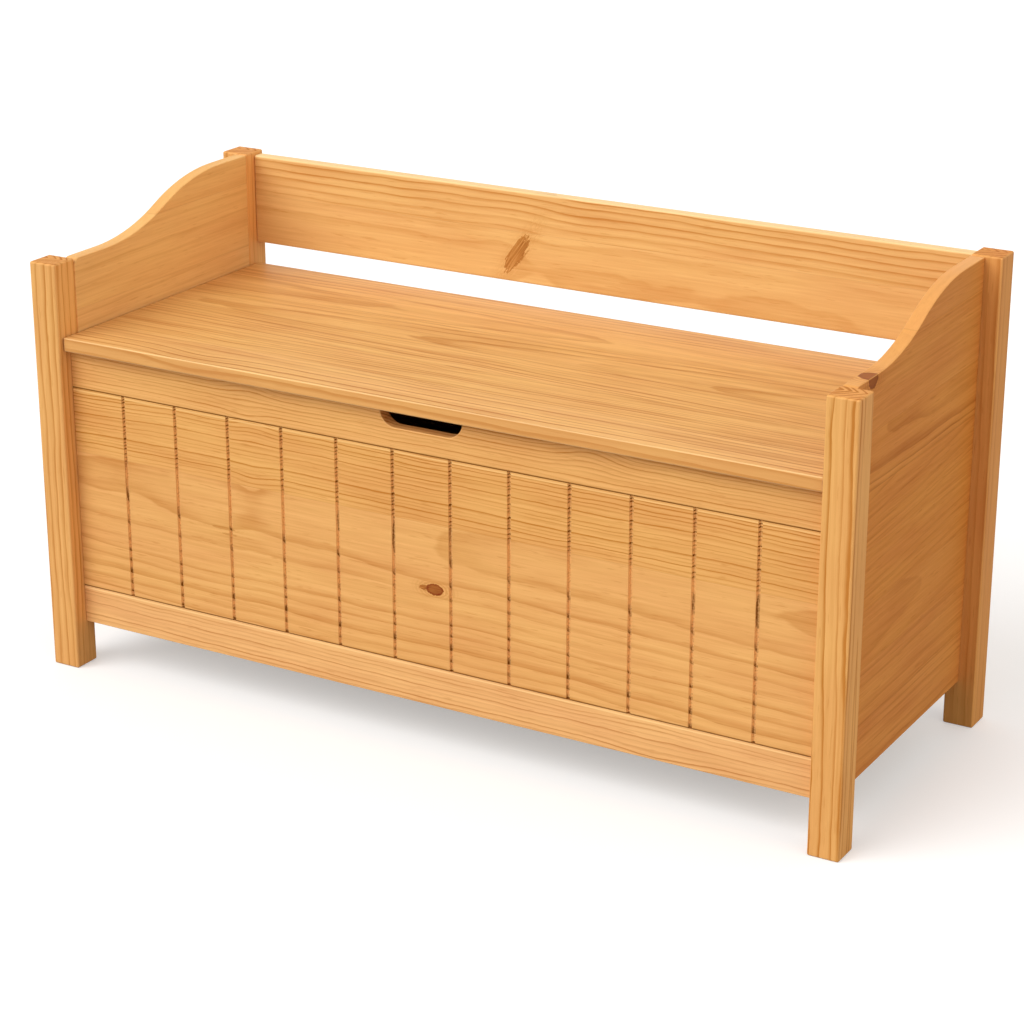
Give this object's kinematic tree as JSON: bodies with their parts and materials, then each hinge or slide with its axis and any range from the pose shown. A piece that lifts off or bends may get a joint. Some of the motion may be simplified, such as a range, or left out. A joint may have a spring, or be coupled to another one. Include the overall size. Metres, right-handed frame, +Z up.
{
  "type": "storage bench",
  "caption": "Pine entry bench with corner posts, ogee sides, a low back rail and a lift-up seat over a storage chest with a grooved front and a hand slot.",
  "frame": {"origin": "on the floor, under the middle of the bench", "axes": "+X to the right along the width, +Y to the rear, +Z up; the front faces -Y"},
  "size_m": [1.14, 0.46, 0.615],
  "materials": {
    "post_pine": "satin honey lacquer over solid pine",
    "panel_pine": "satin honey lacquer over edge-glued pine",
    "rail_pine": "satin honey lacquer over solid pine",
    "lid_pine": "satin honey lacquer over edge-glued pine",
    "raw_pine": "planed, unlacquered",
    "plywood": "sanded, unlacquered",
    "beech": "turned, unfinished",
    "zinc_screw": "zinc plated",
    "pin_steel": "bright drawn",
    "nylon": "natural white"
  },
  "bodies": {
    "frame": {"front_left_post": "post_pine", "front_right_post": "post_pine", "rear_left_post": "post_pine", "rear_right_post": "post_pine", "left_side_panel": "panel_pine", "right_side_panel": "panel_pine", "front_panel": "panel_pine", "lower_back_panel": "panel_pine", "front_top_rail": "rail_pine", "front_bottom_rail": "rail_pine", "back_rail": "rail_pine", "front_floor_cleat": "raw_pine", "rear_floor_cleat": "raw_pine", "left_floor_cleat": "raw_pine", "right_floor_cleat": "raw_pine", "floor_panel": "plywood", "front_rail_dowels": "beech", "front_panel_dowels": "beech", "back_panel_dowels": "beech", "back_rail_dowels": "beech", "side_panel_dowels": "beech", "cleat_screws": "zinc_screw", "floor_screws": "zinc_screw", "pivot_bushes": "nylon"},
    "seat_lid": {"lid": "lid_pine", "left_lid_batten": "raw_pine", "centre_lid_batten": "raw_pine", "right_lid_batten": "raw_pine", "batten_screws": "zinc_screw", "pivot_pins": "pin_steel"}
  },
  "joints": [
    {"name": "lid_hinge", "type": "hinge", "parent": "frame", "child": "seat_lid", "pos_m": [0, 0.198, 0.449], "axis": [-1, 0, 0], "range_deg": [0, 90]}
  ]
}
